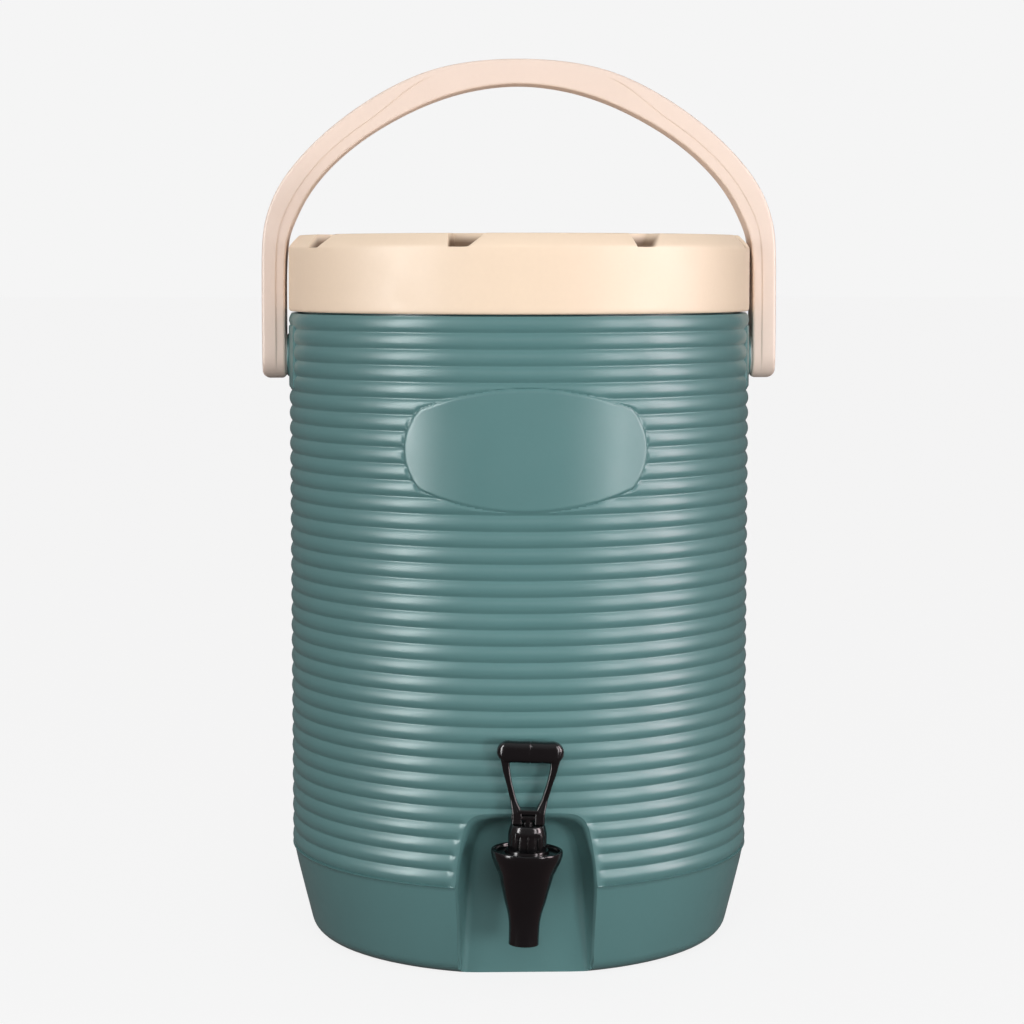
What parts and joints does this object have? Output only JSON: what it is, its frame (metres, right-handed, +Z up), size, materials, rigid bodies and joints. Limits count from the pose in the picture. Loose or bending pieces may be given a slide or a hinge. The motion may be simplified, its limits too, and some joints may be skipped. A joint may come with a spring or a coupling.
{
  "type": "insulated beverage dispenser barrel",
  "caption": "Tall round insulated drinks barrel with a ribbed shell, a screw lid, a swinging carry handle and a lever tap.",
  "frame": {"origin": "centre of the flat base, on the barrel's axis", "axes": "+Z up along the barrel's axis; the tap faces -Y; the handle's pivots lie along X"},
  "size_m": [0.3456, 0.3405, 0.5895],
  "materials": {
    "shell": "semi-gloss moulded teal polyethylene",
    "lid": "semi-gloss moulded cream polypropylene",
    "handle": "semi-gloss moulded pinkish cream polypropylene",
    "tap_black": "glossy black polypropylene",
    "steel": "satin stainless steel",
    "silicone": "matt food-grade silicone",
    "brass": "turned brass",
    "foam": "rigid foam, cut cells"
  },
  "bodies": {
    "barrel": {"outer_shell": "shell", "foam_insulation": "foam", "steel_liner": "steel", "neck_ring": "shell", "base_plug": "shell", "wall_sleeve": "silicone", "pivot_inserts": "brass", "pivot_screws": "steel", "pivot_washers": "silicone", "tap_body": "tap_black", "tap_bonnet": "tap_black", "tap_outer_washer": "silicone", "tap_inner_washer": "silicone", "tap_lock_nut": "tap_black", "tap_spring": "steel"},
    "handle": {"carry_handle": "handle", "pivot_caps": "handle"},
    "lid_seal": {"lid_gasket": "silicone"},
    "lid": {"lid_cover": "lid", "lid_liner": "lid", "lid_foam": "foam", "vent_bush": "lid"},
    "vent": {"vent_knob": "lid", "vent_seal": "silicone"},
    "tap_stem": {"tap_stem": "tap_black", "tap_seat_cup": "silicone", "lever_pin": "steel"},
    "lever": {"tap_lever": "tap_black"}
  },
  "joints": [
    {"name": "handle_swing", "type": "hinge", "parent": "barrel", "child": "handle", "pos_m": [0, 0, 0.392], "axis": [1, 0, 0], "range_deg": [-110, 110]},
    {"name": "lid_rise", "type": "slide", "parent": "barrel", "child": "lid_seal", "axis": [0, 0, 1], "range_m": [0, 0.003]},
    {"name": "lid_turn", "type": "hinge", "parent": "lid_seal", "child": "lid", "pos_m": [0, 0, 0.45], "axis": [0, 0, 1], "range_deg": [0, 135]},
    {"name": "vent_lift", "type": "slide", "parent": "lid", "child": "vent", "axis": [0, 0, 1], "range_m": [0, 0.005]},
    {"name": "stem_lift", "type": "slide", "parent": "barrel", "child": "tap_stem", "axis": [0.0349, 0, 0.9994], "range_m": [0, 0.004], "stiffness_N_per_m": 120, "springref_m": -0.004, "deforming": ["tap_spring"]},
    {"name": "lever_pull", "type": "hinge", "parent": "tap_stem", "child": "lever", "pos_m": [0.00054, -0.163, 0.10848], "axis": [0.9994, 0, -0.0349], "range_deg": [0, 28]}
  ],
  "couplings": [
    {"joint": "lid_rise", "follows": "lid_turn", "m_per_rad": 0.001273},
    {"joint": "lever_pull", "follows": "stem_lift", "rad_per_m": 122.17}
  ]
}
